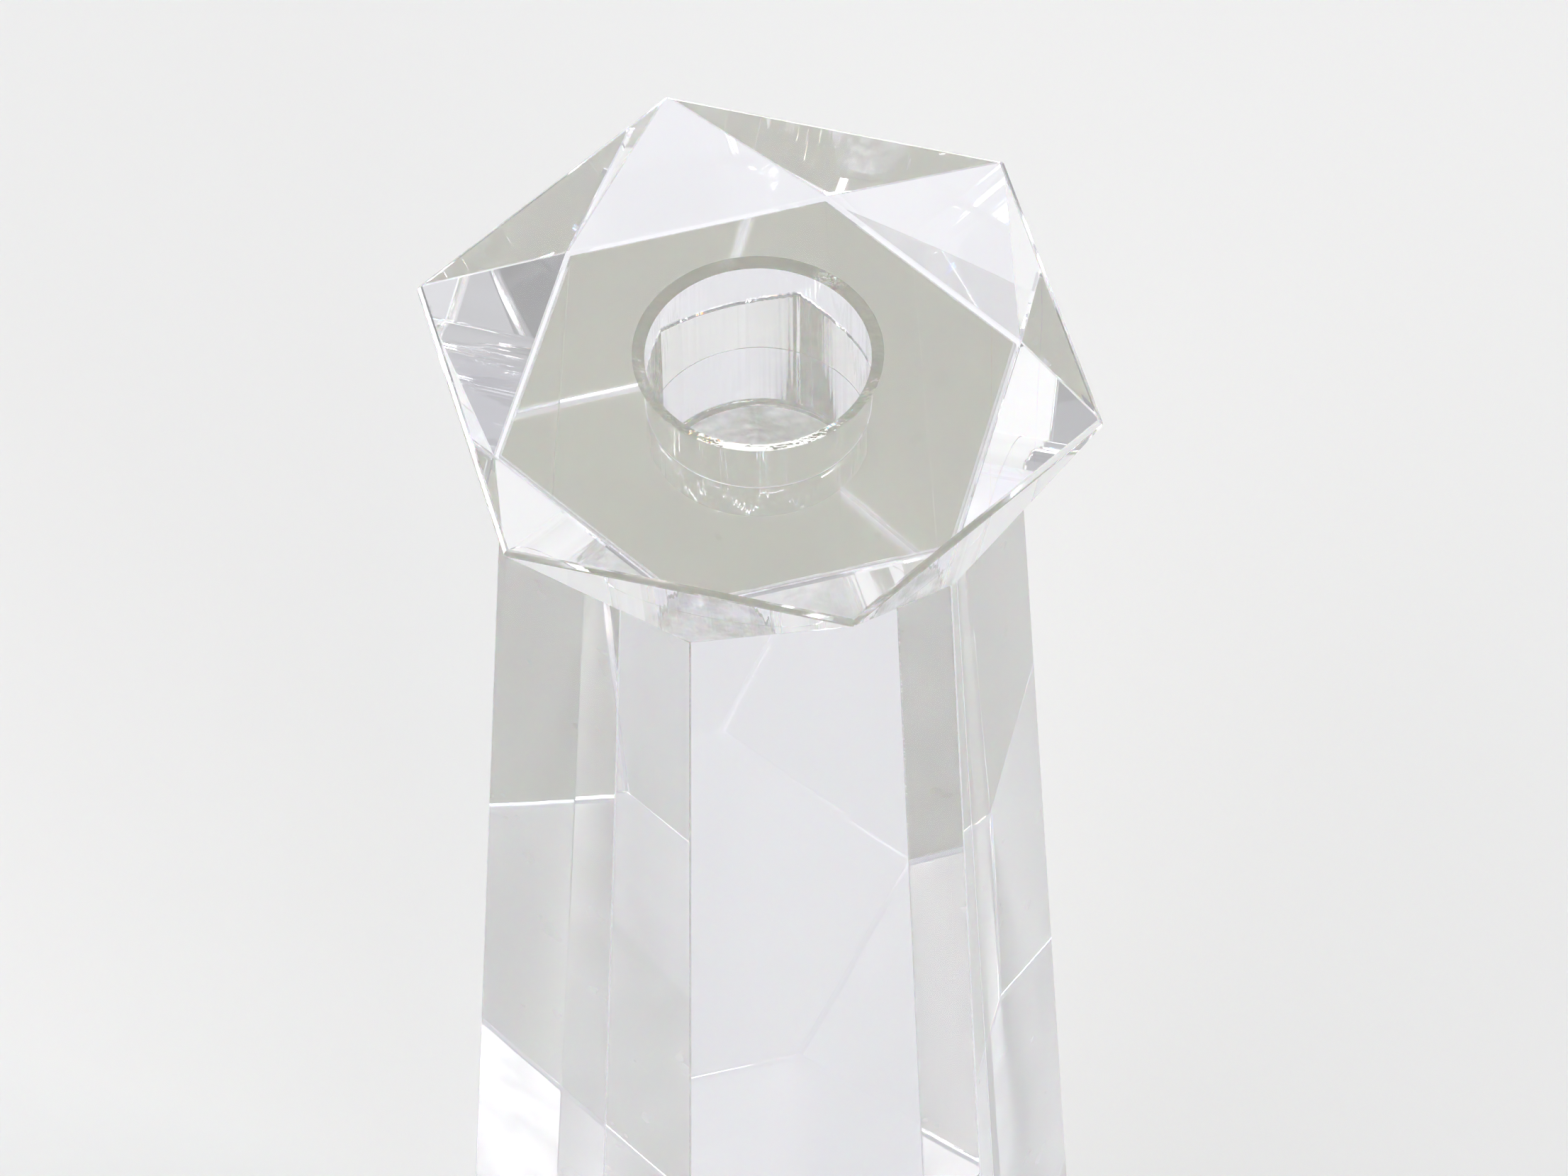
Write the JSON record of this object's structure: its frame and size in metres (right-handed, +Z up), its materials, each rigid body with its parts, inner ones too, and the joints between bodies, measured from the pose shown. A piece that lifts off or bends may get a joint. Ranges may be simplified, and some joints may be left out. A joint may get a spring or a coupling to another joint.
{
  "type": "candlestick",
  "caption": "Tall cut-glass candlestick with a faceted hexagonal head, a round candle socket and a tapered hexagonal column.",
  "frame": {"origin": "middle of the foot, on the surface that the candlestick stands on", "axes": "+Z up along the column and the socket; +X through a corner of the head's top face"},
  "size_m": [0.0688, 0.0762, 0.23],
  "materials": {
    "head_crystal": "polished clear optical crystal",
    "clear_adhesive": "clear cured adhesive",
    "stem_crystal": "polished clear optical crystal"
  },
  "bodies": {
    "root": {"head": "head_crystal", "bond_film": "clear_adhesive", "stem": "stem_crystal"}
  },
  "joints": []
}
